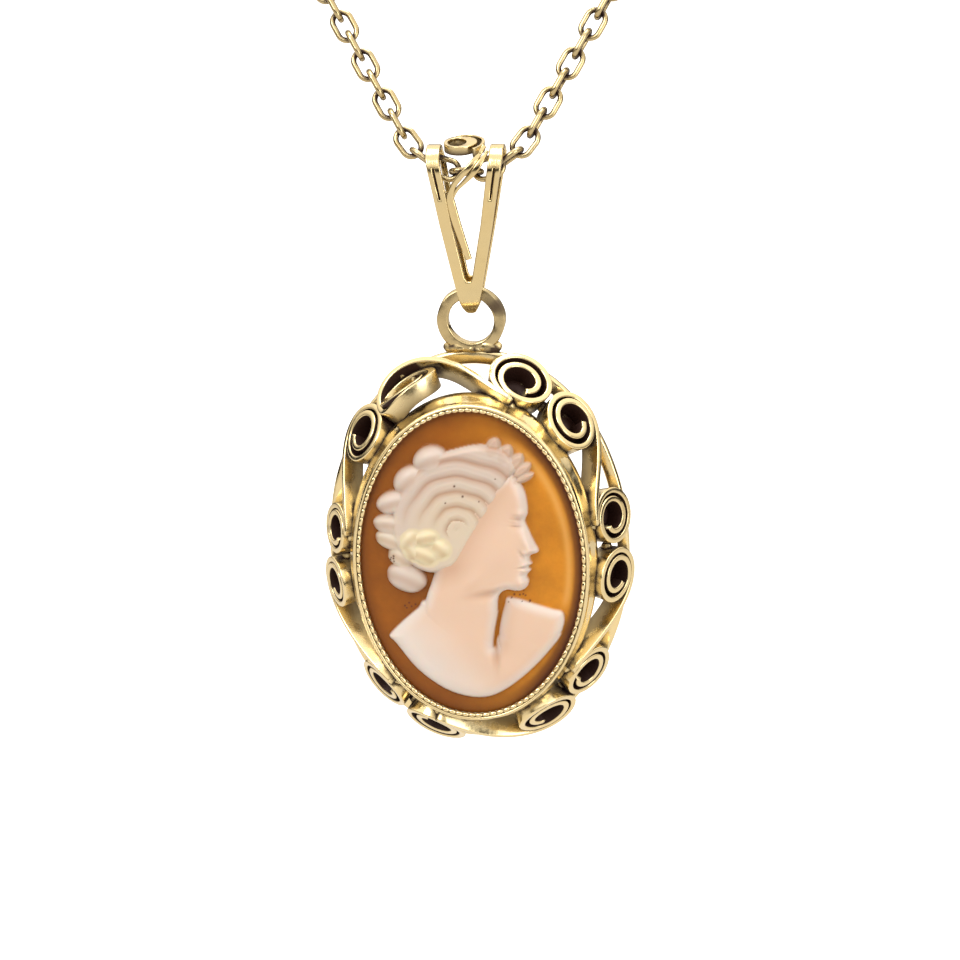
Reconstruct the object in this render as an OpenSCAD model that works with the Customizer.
/* [Cameo] */
// Width of the shell that shows inside the bezel
window_w = 16.5; // [15:0.1:19]
// Height of the shell that shows inside the bezel
window_h = 23.2; // [20:0.1:26]
// Thickness of the shell at its edge
shell_t = 1.4; // [1:0.05:1.8]
// How far the middle of the shell's ground stands in front of its edge
shell_dome = 0.45; // [0.2:0.05:0.8]
// Height of the carved relief over the ground
relief_h = 1.1; // [0.6:0.05:1.4]

/* [Bezel] */
// Clearance between the shell and the metal that holds it
shell_gap = 0.08; // [0.05:0.01:0.12]
// Width of the beaded lip seen from the front
lip_w = 0.5; // [0.4:0.05:0.7]
// How far the lip laps over the edge of the shell
lip_lap = 0.33; // [0.25:0.01:0.38]
// Thickness of the lip
lip_t = 0.4; // [0.3:0.05:0.6]
// How far the collar behind the lip flares outside it
collar_flare = 0.5; // [0.3:0.05:0.7]
// Thickness of the ledge that the shell sits on
ledge_t = 0.35; // [0.25:0.05:0.5]
// Width of the ledge that the shell sits on
ledge_w = 0.7; // [0.5:0.05:1]

/* [Back rim] */
// How far the rim stands outside the window of the bezel
rim_reach = 3.05; // [2.6:0.05:3.4]
// How much further the rim stands out at its top and bottom, as a share of its reach past the bezel
rim_stretch = 0.2; // [0:0.05:0.3]
// Width of the rim seen from behind
rim_w = 0.95; // [0.7:0.05:1.1]
// Thickness of the rim from front to back
rim_t = 0.7; // [0.5:0.05:0.9]
// Depth of the whole setting from the lip to the back of the rim
setting_d = 5.8; // [5.2:0.1:6.2]

/* [Scrolls] */
// Thickness of the scrolled ribbon
ribbon_t = 0.42; // [0.25:0.01:0.45]
// Width of the ribbon across the wall of scrolls
ribbon_w = 1.1; // [0.8:0.05:1.2]
// Turns in the larger curls
curl_turns = 1.9; // [1.25:0.05:1.9]
// Radius at the inner end of a curl
curl_eye = 0.95; // [0.7:0.05:1.1]

/* [Top loop] */
// Outer diameter of the soldered loop
loop_d = 5.2; // [4.8:0.1:5.8]
// Width of the loop's flat band
loop_band = 0.88; // [0.7:0.02:1]
// Thickness of the loop from front to back
loop_t = 0.64; // [0.5:0.02:0.8]

/* [Bail] */
// Width of the bail across the top of its two arms
bail_w = 5.75; // [5.2:0.05:6.4]
// Width of each arm at the top
arm_w = 1.05; // [0.9:0.05:1.3]
// Thickness of the bail's strip
strip_t = 0.35; // [0.25:0.05:0.45]
// Inner radius of the arch that rides on the chain
arch_r = 1.4; // [1.35:0.05:1.6]
// Inner radius of the pocket that holds the loop
pocket_r = 0.72; // [0.7:0.02:0.85]
// Distance between the middle of the arch and the middle of the pocket
bail_drop = 9.35; // [8.5:0.05:11]
// How far the tip of the bail reaches below the middle of the pocket
tip_drop = 1.7; // [1.5:0.05:1.9]
// Outer diameter of the curl on the bail
bail_curl_d = 2.8; // [2.4:0.1:3]
// Height of the ribbon in the bail's curl
bail_curl_h = 0.9; // [0.7:0.05:1]
// Width of the wire that trails from the curl
tail_w = 0.48; // [0.35:0.02:0.55]

/* [Chain] */
// Length of the chain with its clasp
chain_len = 400; // [380:5:410]
// Distance from one link to the next before it is rounded to fit the chain
link_pitch = 1.667; // [1.65:0.001:1.75]
// Slack between two links that are pulled tight
link_slack = 0.12; // [0.11:0.01:0.16]
// Width of a link
link_w = 1.84; // [1.8:0.02:2]
// Diameter of a link's wire
link_wire = 0.43; // [0.38:0.01:0.46]
// Slope of the two straight sides of the chain
chain_slope = 61; // [55:1:65]
// How far the loop of chain leans back from upright
chain_lean = 22; // [10:1:40]
// Radius of the bend where the chain runs through the bail
chain_bend = 5.4; // [5:0.1:8]

/* [Clasp] */
// Outer diameter of the clasp's ring
clasp_d = 5; // [4.6:0.1:6]
// Diameter of the clasp's wire
clasp_wire = 0.9; // [0.7:0.05:1]

/* [Hidden] */

GOLD = [0.84, 0.72, 0.42];
SHELL = [0.93, 0.78, 0.66];

// Steps round the ovals, along a curl's turn, and across and up the carving
OVAL_STEPS = 84;
CURL_STEPS = 16;
// Share of a curl's first turn that stays a true circle
CURL_ROUND = 0.45;
CARVE_X = 40;
CARVE_Z = 54;

// The chain's loop: a small bend in the bail, two straight sides and a wide arc round the neck
clasp_hole_r = clasp_d / 2 - clasp_wire;
link_inner = link_pitch + link_slack;
clasp_reach = clasp_hole_r + link_inner / 2 - link_slack;
half_links = 2 * round((chain_len / 2 - clasp_reach) / (2 * link_pitch));
pitch = (chain_len / 2 - clasp_reach) / half_links;
link_l = link_inner + 2 * link_wire;
slope_rad = chain_slope * PI / 180;
neck_r = (chain_len - 2 * slope_rad * chain_bend + 2 * chain_bend * tan(chain_slope))
    / (2 * tan(chain_slope) + 2 * PI - 2 * slope_rad);
bend_len = slope_rad * chain_bend;
side_len = (neck_r - chain_bend) * tan(chain_slope);
neck_up = chain_bend + (neck_r - chain_bend) / cos(chain_slope);
loop_up = neck_up + neck_r;

// The bail turns on an axis a little above the lowest point of the chain
axis_up = 0.3;
hang_y = -(loop_up - axis_up) * sin(chain_lean);
hang_z = -(loop_up - axis_up) * cos(chain_lean);

// Heights below are measured from the bail's axis, with the loop's band in the bail's pocket
loop_z = -bail_drop - (loop_d - loop_band) / 2;
win_a = window_w / 2;
win_b = window_h / 2;
// The bezel's own outer edge, and how far the rim reaches at its top
collar_o = lip_w + collar_flare;
rim_top = rim_reach + (rim_reach - collar_o) * rim_stretch;
loop_solder = 0.35;
middle_z = loop_z - loop_d / 2 + loop_solder - win_b - rim_top;
front_y = rim_t / 2 - setting_d;

seat_d = lip_t + shell_gap;
collar_d = seat_d + shell_t + shell_gap + ledge_t;
// Share of the collar's depth over which it flares
COLLAR_BEND = 0.66;

// The wall of scrolls runs from the collar, at this depth behind the lip, back and out to the rim.
// Its end lies this far inside the rim's outer edge and behind its front.
wall_from = 1.5;
wall_lap = 0.08;
wall_start = [collar_o, wall_from];
wall_end = [rim_reach - wall_lap, setting_d - rim_t + wall_lap];
wall_len = norm(wall_end - wall_start);
wall_dir = (wall_end - wall_start) / wall_len;
curl_r = wall_len / 2;

// Each scroll has one curl that leaves along the rim and one that arrives along the bezel.
// Angles go round the oval from its right end, and sizes are shares of the full curl.
// Columns: angle of the rim curl, its size, angle of the bezel curl, its size
SCROLLS = [
    [115.5, 0.98, 70.5, 1],
    [47.5, 1, 12, 0.98],
    [-8, 0.98, -43, 0.96],
    [-65, 0.98, -108, 0.97],
    [-169.5, 0.88, -130.5, 0.97],
    [137.5, 1, 172, 0.88]
];
// Angles of the soldered joints between neighbouring curls
SOLDER_AT = [126.5, 59, 2, -54, -119.2, 181.2];
// Radius of a solder joint, and how far it runs to each side of its middle
solder_r = 0.24;
solder_reach = 0.4;

// Corners of the solder at each side of the loop's foot. Columns: across and up, as shares of half the loop
FOOT = [[0.73, 0], [0.5, 0.29], [0.27, 0]];

// Locks at the edge of the hair and the knot behind it, as rounded lobes.
// Columns: across, up, half width, half height, turn, height. The first four are shares of half the window.
LOCKS = [
    [-0.412, 0.72, 0.139, 0.073, 25, 0.8],
    [-0.576, 0.586, 0.127, 0.078, 35, 0.78],
    [-0.691, 0.474, 0.109, 0.06, 20, 0.74],
    [-0.745, 0.384, 0.139, 0.053, 12, 0.74],
    [-0.752, 0.293, 0.133, 0.043, -5, 0.72],
    [-0.77, 0.194, 0.127, 0.053, -18, 0.72],
    [-0.667, 0.078, 0.109, 0.052, -30, 0.7],
    [-0.606, -0.086, 0.176, 0.091, -25, 0.78],
    [-0.388, 0.121, 0.267, 0.129, -25, 1]
];

// Leaves over the brow. Columns: foot across, foot up, tip across, tip up, half width, as the same shares
LEAVES = [
    [0.16, 0.7, 0.25, 0.83, 0.055],
    [0.26, 0.67, 0.37, 0.79, 0.055],
    [0.33, 0.63, 0.47, 0.73, 0.05],
    [0.36, 0.585, 0.545, 0.665, 0.05]
];

// Edges of the hair's waves, as radii round one middle, in shares of half the window's width
WAVE_EDGES = [0.04, 0.16, 0.3, 0.43, 0.58, 0.76];
WAVE_X = -0.12;
WAVE_Z = 0.24;
// The carving leans over by this share of its height, and fades out over this share beside the bezel
CARVE_LEAN = 0.05;
CARVE_FADE = 0.06;

// Outlines as shares of half the window: head with neck, bust, drapery in front, and hair
HEAD = [
    [0.327, 0.603], [0.418, 0.56], [0.479, 0.483], [0.503, 0.405], [0.509, 0.341], [0.488, 0.293],
    [0.525, 0.228], [0.57, 0.159], [0.612, 0.105], [0.604, 0.079], [0.541, 0.06], [0.543, 0.031],
    [0.56, 0.007], [0.528, -0.01], [0.552, -0.033], [0.516, -0.067], [0.533, -0.108], [0.509, -0.153],
    [0.436, -0.177], [0.333, -0.168], [0.267, -0.203], [0.255, -0.293], [0.242, -0.414],
    [0.224, -0.534], [0.073, -0.552], [-0.194, -0.483], [-0.412, -0.345], [-0.4, -0.224],
    [-0.339, -0.086], [-0.291, 0.069], [-0.17, 0.224], [0.024, 0.431]
];
BUST = [
    [-0.388, -0.224], [-0.473, -0.284], [-0.594, -0.362], [-0.715, -0.453], [-0.733, -0.491],
    [-0.667, -0.539], [-0.473, -0.707], [-0.218, -0.841], [0.036, -0.897], [0.242, -0.879],
    [0.473, -0.772], [0.703, -0.603], [0.836, -0.44], [0.558, -0.379], [0.279, -0.448], [0.23, -0.543],
    [0.236, -0.422], [0.255, -0.276], [0.073, -0.172]
];
DRAPE = [
    [0.333, -0.211], [0.436, -0.22], [0.558, -0.25], [0.739, -0.293], [0.848, -0.323], [0.842, -0.44],
    [0.703, -0.603], [0.473, -0.767], [0.315, -0.828], [0.267, -0.707], [0.291, -0.578],
    [0.261, -0.483], [0.279, -0.362], [0.309, -0.267]
];
HAIR = [
    [-0.115, 0.013], [0.036, 0.203], [0.194, 0.388], [0.352, 0.573], [0.406, 0.629], [0.352, 0.716],
    [0.242, 0.78], [0.036, 0.793], [-0.164, 0.763], [-0.364, 0.716], [-0.521, 0.621], [-0.63, 0.517],
    [-0.697, 0.397], [-0.727, 0.259], [-0.679, 0.121], [-0.533, 0], [-0.364, -0.052], [-0.218, -0.026]
];

// Heights of the carved forms as shares of the relief, and widths of their rounded shoulders
HEAD_FORM = [0.72, 0.9];
BUST_FORM = [0.62, 1.1];
DRAPE_FORM = [0.54, 0.8];
HAIR_FORM = [0.62, 0.45];
WAVE_FORM = 0.22;
LEAF_FORM = 0.66;

// Corners of the right side of the bail's front, below the height where its arms start to narrow.
// Columns: across as a share of half its width, down as a share of the drop
arm_top = 0.9;
KNEE = [0.69, 0.43];
FORK = [0.39, 0.91];
// Width of an arm at its knee as a share of its width at the top, and the foot of the gap between the arms
KNEE_W = 0.86;
GAP_FOOT = [0.035, 0.89];
// Corners of the tip. Columns: across as a share of half the bail's width, down as a share of the tip
TIP = [[0.2, 0.6], [0.08, 1.06]];
// Corners of the slit in each arm. Columns: in from the arm's outer side as a share of its width, down as
// a share of the drop
SLIT = [[0.56, 0], [0.44, 0], [0.78, 0.28], [0.9, 0.28]];

// Point of the oval, moved outwards by o, at angle t. Past the bezel it moves further at top and bottom.
function oval(t, o) =
    let (
        n = [win_b * cos(t), win_a * sin(t)],
        more = max(0, o - collar_o) * rim_stretch * pow(sin(t), 2)
    )
    [win_a * cos(t), win_b * sin(t)] + (o + more) * n / norm(n);

// Ring round the oval. The profile holds pairs: distance outside the window, distance behind the lip
module oval_ring(profile) {
    m = len(profile);
    points = [
        for (i = [0 : OVAL_STEPS - 1], q = profile)
            let (p = oval(360 * i / OVAL_STEPS, q.x))
            [p.x, front_y + q.y, p.y]
    ];
    faces = [
        for (i = [0 : OVAL_STEPS - 1], j = [0 : m - 1])
            let (
                a = i * m + j,
                b = i * m + (j + 1) % m,
                c = ((i + 1) % OVAL_STEPS) * m + (j + 1) % m,
                d = ((i + 1) % OVAL_STEPS) * m + j
            )
            each [[a, c, b], [a, d, c]]
    ];
    polyhedron(points, faces, convexity = 8);
}

// Solid swept through sections of four corners each
module ribbon(sections) {
    n = len(sections);
    points = [for (s = sections) each s];
    sides = [
        for (i = [0 : n - 2], j = [0 : 3])
            let (a = 4 * i + j, b = 4 * i + (j + 1) % 4, c = b + 4, d = a + 4)
            each [[a, c, b], [a, d, c]]
    ];
    last = 4 * (n - 1);
    caps = [[0, 2, 3], [0, 1, 2], [last, last + 2, last + 1], [last, last + 3, last + 2]];
    polyhedron(points, concat(sides, caps), convexity = 12);
}

// Millimetres for each degree along the middle of the wall of scrolls
function mm_per_deg(t) =
    let (o = (wall_start.x + wall_end.x) / 2)
    norm([(win_a + o) * sin(t), (win_b + o) * cos(t)]) * PI / 180;

// Point in the wall: angle t, distance v from the bezel towards the rim, height h out of the wall
function gallery(t, v, h) =
    let (
        o = wall_start.x + v * wall_dir.x + h * wall_dir.y,
        p = oval(t, o)
    )
    [p.x, front_y + wall_start.y + v * wall_dir.y - h * wall_dir.x, p.y];

// Points of a curl from its outside inwards. The start is on the rim side or the bezel side,
// and dir is the way round the oval in which the scroll runs.
function curl_path(t, r, rim_side, dir) =
    let (
        side = rim_side ? 1 : -1,
        v = rim_side ? wall_len - r : r,
        steps = round(curl_turns * CURL_STEPS)
    )
    [for (i = [0 : steps])
        let (
            turn = curl_turns * i / steps,
            a = side * (90 + 360 * turn),
            wind = max(0, turn - CURL_ROUND) / (curl_turns - CURL_ROUND),
            q = r + (curl_eye - r) * wind
        )
        [t + dir * q * cos(a) / mm_per_deg(t), v + q * sin(a)]];

// Points of the stretch between the two curls of a scroll
function scroll_bridge(row) =
    let (steps = 9)
    [for (i = [1 : steps - 1])
        let (
            f = i / steps,
            up = wall_len / 2 * (1 + cos(180 * f))
        )
        [row[0] + (row[2] - row[0]) * f, up]];

function reversed(list) = [for (i = [len(list) - 1 : -1 : 0]) list[i]];

// Four corners at each point of a path of [angle, distance from the bezel]
function path_sections(path) =
    [for (i = [0 : len(path) - 1])
        let (
            k = mm_per_deg(path[i].x),
            a = path[max(i - 1, 0)],
            b = path[min(i + 1, len(path) - 1)],
            run = [(b.x - a.x) * k, b.y - a.y],
            out = [-run.y, run.x] / norm(run) * ribbon_t / 2,
            p = path[i]
        )
        [for (c = [[1, 1], [1, -1], [-1, -1], [-1, 1]])
            gallery(p.x + c.x * out.x / k, p.y + c.x * out.y, c.y * ribbon_w / 2)]];

module scroll(row) {
    dir = sign(row[2] - row[0]);
    path = concat(
        reversed(curl_path(row[0], curl_r * row[1], true, dir)),
        scroll_bridge(row),
        curl_path(row[2], curl_r * row[3], false, dir)
    );
    ribbon(path_sections(path));
}

// Solder between the curls of two neighbouring scrolls
module solder(t) {
    reach = solder_reach / mm_per_deg(t);
    hull() for (side = [-1, 1])
        translate(gallery(t + side * reach, wall_len * 0.45, -ribbon_w / 4)) sphere(solder_r, $fn = 10);
}

module bezel_ring() {
    in = -ledge_w + lip_lap;
    oval_ring([
        [0, lip_t * 0.35], [lip_w * 0.3, 0], [lip_w * 0.7, 0], [lip_w, lip_t * 0.35],
        [lip_w + 0.06, lip_t], [collar_o, collar_d * COLLAR_BEND], [collar_o, collar_d], [in, collar_d],
        [in, collar_d - ledge_t], [lip_lap, collar_d - ledge_t], [lip_lap, lip_t], [0, lip_t]
    ]);
}

module rim_ring() {
    c = 0.18;
    o1 = rim_reach - rim_w;
    d1 = setting_d - rim_t;
    oval_ring([
        [o1 + c, d1], [rim_reach - c, d1], [rim_reach, d1 + c], [rim_reach, setting_d - c],
        [rim_reach - c, setting_d], [o1 + c, setting_d], [o1, setting_d - c], [o1, d1 + c]
    ]);
}

module top_loop() {
    c = 0.12;
    r1 = loop_d / 2 - loop_band;
    r2 = loop_d / 2;
    h = loop_t / 2;
    rotate([90, 0, 0]) rotate_extrude($fn = 48) polygon([
        [r1, c - h], [r1 + c, -h], [r2 - c, -h], [r2, c - h],
        [r2, h - c], [r2 - c, h], [r1 + c, h], [r1, h - c]
    ]);
}

// Solder that joins the loop to the top of the rim, on each side
module loop_foot(side) {
    low = middle_z + win_b + rim_top - loop_solder * 0.86;
    hull() for (q = FOOT)
        translate([side * q.x * loop_d / 2, 0, low + q.y * loop_d / 2]) sphere(loop_t / 2, $fn = 10);
}

module setting() color(GOLD) translate([0, hang_y, hang_z]) {
    translate([0, 0, middle_z]) {
        bezel_ring();
        rim_ring();
        for (row = SCROLLS) scroll(row);
        for (t = SOLDER_AT) solder(t);
    }
    translate([0, 0, loop_z]) top_loop();
    for (side = [-1, 1]) loop_foot(side);
}

// Signed distance inside a closed outline, positive inside
function seg_dist(p, a, b) =
    let (ab = b - a, f = max(0, min(1, ((p - a) * ab) / (ab * ab))))
    norm(p - a - f * ab);
function crossings(p, o) =
    len([for (i = [0 : len(o) - 1])
        let (a = o[i], b = o[(i + 1) % len(o)])
        if ((a.y > p.y) != (b.y > p.y) && p.x < a.x + (b.x - a.x) * (p.y - a.y) / (b.y - a.y)) 1]);
function depth_in(p, o) =
    let (d = min([for (i = [0 : len(o) - 1]) seg_dist(p, o[i], o[(i + 1) % len(o)])]))
    crossings(p, o) % 2 == 1 ? d : -d;

// Rounded shoulder: 0 at the edge and 1 from w inwards
function shoulder(d, w) = d <= 0 ? 0 : d >= w ? 1 : sqrt(1 - pow(1 - d / w, 2));

function sized(o) = [for (q = o) [q.x * win_a, q.y * win_b]];
head_outline = sized(HEAD);
bust_outline = sized(BUST);
drape_outline = sized(DRAPE);
hair_outline = sized(HAIR);

function lock_height(p, r) =
    let (
        d = p - [r[0] * win_a, r[1] * win_b],
        q = [d.x * cos(r[4]) + d.y * sin(r[4]), d.y * cos(r[4]) - d.x * sin(r[4])],
        f = norm([q.x / (r[2] * win_a), q.y / (r[3] * win_b)])
    )
    f >= 1 ? 0 : r[5] * pow(1 - f * f, 0.4);

function leaf_height(p, r) =
    let (
        a = [r[0] * win_a, r[1] * win_b],
        run = [r[2] * win_a, r[3] * win_b] - a,
        f = ((p - a) * run) / (run * run),
        off = norm(p - a - f * run) / (r[4] * win_a)
    )
    f <= 0 || f >= 1 || off >= 1 ? 0 : LEAF_FORM * pow((1 - off * off) * 4 * f * (1 - f), 0.4);

// Rounded waves between each two of the wave edges, 0 in a groove and 1 on a crest
function wave(p) =
    let (
        d = norm(p - [WAVE_X * win_a, WAVE_Z * win_b]) / win_a,
        arcs = [
            for (i = [0 : len(WAVE_EDGES) - 2])
                let (f = (d - WAVE_EDGES[i]) / (WAVE_EDGES[i + 1] - WAVE_EDGES[i]))
                if (f > 0 && f < 1) sqrt(4 * f * (1 - f))
        ]
    )
    len(arcs) == 0 ? 0 : arcs[0];

function form(p, outline, sizes) = sizes[0] * shoulder(depth_in(p, outline), sizes[1]);
function relief(at) =
    let (
        p = [at.x - CARVE_LEAN * at.y, at.y],
        edge = 1 - norm([at.x / win_a, at.y / win_b])
    )
    relief_h * max(0, min(1, edge / CARVE_FADE)) * max([
        form(p, head_outline, HEAD_FORM),
        form(p, bust_outline, BUST_FORM),
        form(p, drape_outline, DRAPE_FORM),
        form(p, hair_outline, HAIR_FORM + [WAVE_FORM * wave(p), 0]),
        each [for (r = LOCKS) lock_height(p, r)],
        each [for (r = LEAVES) leaf_height(p, r)]
    ]);

// The carved front is a grid bent to the oval, which ends in a plain edge
function carve_point(i, j, o) =
    let (u = 2 * i / CARVE_X - 1, v = 2 * j / CARVE_Z - 1)
    [(win_a + o) * u * sqrt(1 - v * v / 2), (win_b + o) * v * sqrt(1 - u * u / 2)];
function ground_rise(p, o) =
    shell_dome * (1 - pow(p.x / (win_a + o), 2) - pow(p.y / (win_b + o), 2));

module cameo() color(SHELL) translate([0, hang_y, hang_z + middle_z]) {
    edge_o = lip_lap - shell_gap;
    edge_y = front_y + seat_d;
    back_y = edge_y + shell_t;
    front = [
        for (i = [0 : CARVE_X], j = [0 : CARVE_Z])
            let (p = carve_point(i, j, edge_o))
            [p.x, edge_y - ground_rise(p, edge_o) - relief(p), p.y]
    ];
    row = CARVE_Z + 1;
    rim = concat(
        [for (j = [0 : CARVE_Z - 1]) j],
        [for (i = [0 : CARVE_X - 1]) i * row + CARVE_Z],
        [for (j = [CARVE_Z : -1 : 1]) CARVE_X * row + j],
        [for (i = [CARVE_X : -1 : 1]) i * row]
    );
    m = len(rim);
    first = len(front);
    back = [for (k = rim) [front[k].x, back_y, front[k].z]];
    grid_faces = [
        for (i = [0 : CARVE_X - 1], j = [0 : CARVE_Z - 1])
            let (a = i * row + j, b = a + row, c = b + 1, d = a + 1)
            each [[a, c, b], [a, d, c]]
    ];
    wall_faces = [
        for (k = [0 : m - 1])
            let (n = (k + 1) % m)
            each [[rim[k], first + k, first + n], [rim[k], first + n, rim[n]]]
    ];
    polyhedron(
        concat(front, back),
        concat(grid_faces, wall_faces, [[for (k = [m - 1 : -1 : 0]) first + k]]),
        convexity = 6
    );
}

// Outline through two circles, the first at the origin and the second below it
module drop2d(r1, r2, down) {
    s = (r1 - r2) / down;
    c = sqrt(1 - s * s);
    circle(r1, $fn = 64);
    translate([0, -down]) circle(r2, $fn = 48);
    polygon([[r1 * c, -r1 * s], [r2 * c, -down - r2 * s], [-r2 * c, -down - r2 * s], [-r1 * c, -r1 * s]]);
}

// The bail from the side: one strip bent round the chain above and the loop below
module bail_side() {
    tip_r = 0.4;
    pocket_out = pocket_r + strip_t;
    difference() {
        union() {
            drop2d(arch_r + strip_t, pocket_out, bail_drop);
            translate([0, -bail_drop]) drop2d(pocket_out, tip_r, tip_drop - tip_r);
        }
        drop2d(arch_r, pocket_r, bail_drop);
    }
}

// The bail from the front: two arms that narrow and meet at the tip, each with a slit near its top
module bail_front() {
    top = arch_r + strip_t + 1;
    half = bail_w / 2;
    inside = half - arm_w;
    outline = [
        [half, top], [half, arm_top], [half * KNEE.x, -bail_drop * KNEE.y],
        [half * FORK.x, -bail_drop * FORK.y],
        each [for (q = TIP) [half * q.x, -bail_drop - tip_drop * q.y]]
    ];
    gap = [
        [inside, top + 1], [inside, arm_top], [half * KNEE.x - arm_w * KNEE_W, -bail_drop * KNEE.y],
        [half * GAP_FOOT.x, -bail_drop * GAP_FOOT.y]
    ];
    difference() {
        both_sides(outline);
        both_sides(gap);
        for (side = [-1, 1])
            polygon([for (q = SLIT) [side * (half - arm_w * q.x), -bail_drop * q.y]]);
    }
}
module both_sides(right) polygon(concat(right, [for (q = reversed(right)) [-q.x, q.y]]));

// Curl over the chain, between the two arms, with its ribbon standing on edge. It runs a little into the
// left arm and below the top of the arch's inside.
curl_lap = 0.12;
bail_curl_x = -bail_w / 2 + arm_w + bail_curl_d / 2 - curl_lap;
bail_curl_z = arch_r - 0.1;
module bail_curl() {
    turns = 1.5;
    steps = 24;
    eye = 0.5;
    r = bail_curl_d / 2 - strip_t / 2;
    ribbon([
        for (i = [0 : steps])
            let (
                a = -60 + 360 * turns * i / steps,
                q = r + (eye - r) * i / steps,
                u = [cos(a), sin(a)]
            )
            [for (c = [[1, 1], [1, 0], [-1, 0], [-1, 1]])
                [
                    bail_curl_x + u.x * (q + c.x * strip_t / 2),
                    u.y * (q + c.x * strip_t / 2),
                    bail_curl_z + c.y * bail_curl_h
                ]]
    ]);
}

// Wire that trails from the curl down the front between the arms, and touches the left arm.
// Columns: across as a share of half the bail's width, down as a share of the drop
TAIL = [
    [0.14, -0.15], [0.36, -0.07], [0.34, 0.02], [0.16, 0.10], [-0.12, 0.17], [-0.32, 0.25], [-0.40, 0.34],
    [-0.37, 0.44], [-0.29, 0.56], [-0.20, 0.67], [-0.11, 0.76]
];
function spline(p, i, f) =
    let (
        a = p[max(i - 1, 0)],
        b = p[i],
        c = p[i + 1],
        d = p[min(i + 2, len(p) - 1)]
    )
    b + 0.5 * f * ((c - a) + f * ((2 * a - 5 * b + 4 * c - d) + f * (3 * (b - c) + d - a)));
// Middle of the strip's front side at height z, which leans back towards the pocket and over the arch
arch_lean = 0.42;
function strip_front(z) =
    -(arch_r + strip_t / 2) + z * (z < 0 ? (pocket_r - arch_r) / bail_drop : arch_lean);

module bail_tail() {
    steps = 4;
    pts = [for (q = TAIL) [q.x * bail_w / 2, -q.y * bail_drop]];
    path = concat(
        [for (i = [0 : len(pts) - 2], k = [0 : steps - 1]) spline(pts, i, k / steps)],
        [pts[len(pts) - 1]]
    );
    last = len(path) - 1;
    ribbon([
        for (i = [0 : last])
            let (
                run = path[min(i + 1, last)] - path[max(i - 1, 0)],
                side = [-run.y, run.x] / norm(run) * tail_w / 2,
                y = strip_front(path[i].y)
            )
            [for (c = [[1, 1], [1, -1], [-1, -1], [-1, 1]])
                [path[i].x + c.x * side.x, y + c.y * strip_t / 2, path[i].y + c.x * side.y]]
    ]);
}

module bail() color(GOLD) translate([0, hang_y, hang_z]) {
    intersection() {
        translate([-bail_w, 0, 0]) rotate([90, 0, 90]) linear_extrude(2 * bail_w) bail_side();
        translate([0, bail_w, 0]) rotate([90, 0, 0]) linear_extrude(2 * bail_w) bail_front();
    }
    bail_curl();
    bail_tail();
}

// Angle and place of the chain's middle line, at distance s from its lowest point
function chain_angle(s) =
    s <= bend_len ? s / chain_bend * 180 / PI
    : s <= bend_len + side_len ? chain_slope
    : chain_slope + (s - bend_len - side_len) / neck_r * 180 / PI;
function chain_at(s) =
    let (a = chain_angle(s))
    s <= bend_len ? chain_bend * [sin(a), 1 - cos(a)]
    : s <= bend_len + side_len
        ? chain_bend * [sin(a), 1 - cos(a)] + (s - bend_len) * [cos(a), sin(a)]
    : [neck_r * sin(a), neck_up - neck_r * cos(a)];

// One link round its own middle, long along X and flat in the plane of X and Z
module link() {
    r = (link_w - link_wire) / 2;
    straight = link_l - link_w;
    rotate([90, 0, 0]) {
        for (end = [0, 1]) rotate([0, 0, 180 * end]) translate([straight / 2, 0, 0])
            rotate([0, 0, -90])
            rotate_extrude(angle = 180, $fn = 24)
            translate([r, 0])
            circle(link_wire / 2, $fn = 16);
        for (side = [-1, 1]) translate([-straight / 2, side * r, 0])
            rotate([0, 90, 0]) cylinder(h = straight, r = link_wire / 2, $fn = 16);
    }
}

// Puts the loop's own plane, with its lowest point at the origin, where the chain hangs
module in_chain_plane() translate([0, -loop_up * sin(chain_lean), -loop_up * cos(chain_lean)])
    rotate([-chain_lean, 0, 0]) children();

// Links of one side, from the lowest one outwards and up to the clasp
module chain_side(side, first) color(GOLD) in_chain_plane()
    for (k = [first : half_links]) {
        s = k * pitch;
        p = chain_at(s);
        translate([side * p.x, 0, p.y])
            rotate([0, -side * chain_angle(s), 0])
            rotate([k % 2 == 0 ? 90 : 0, 0, 0])
            link();
    }

module chain_left() chain_side(-1, 1);
module chain_right() chain_side(1, 0);

// Plain ring that closes the chain at the back of the neck
module clasp() color(GOLD) in_chain_plane()
    translate([0, 0, loop_up]) rotate([90, 0, 0])
    rotate_extrude($fn = 48) translate([(clasp_d - clasp_wire) / 2, 0]) circle(clasp_wire / 2, $fn = 24);

chain_left();
chain_right();
clasp();
bail();
setting();
cameo();
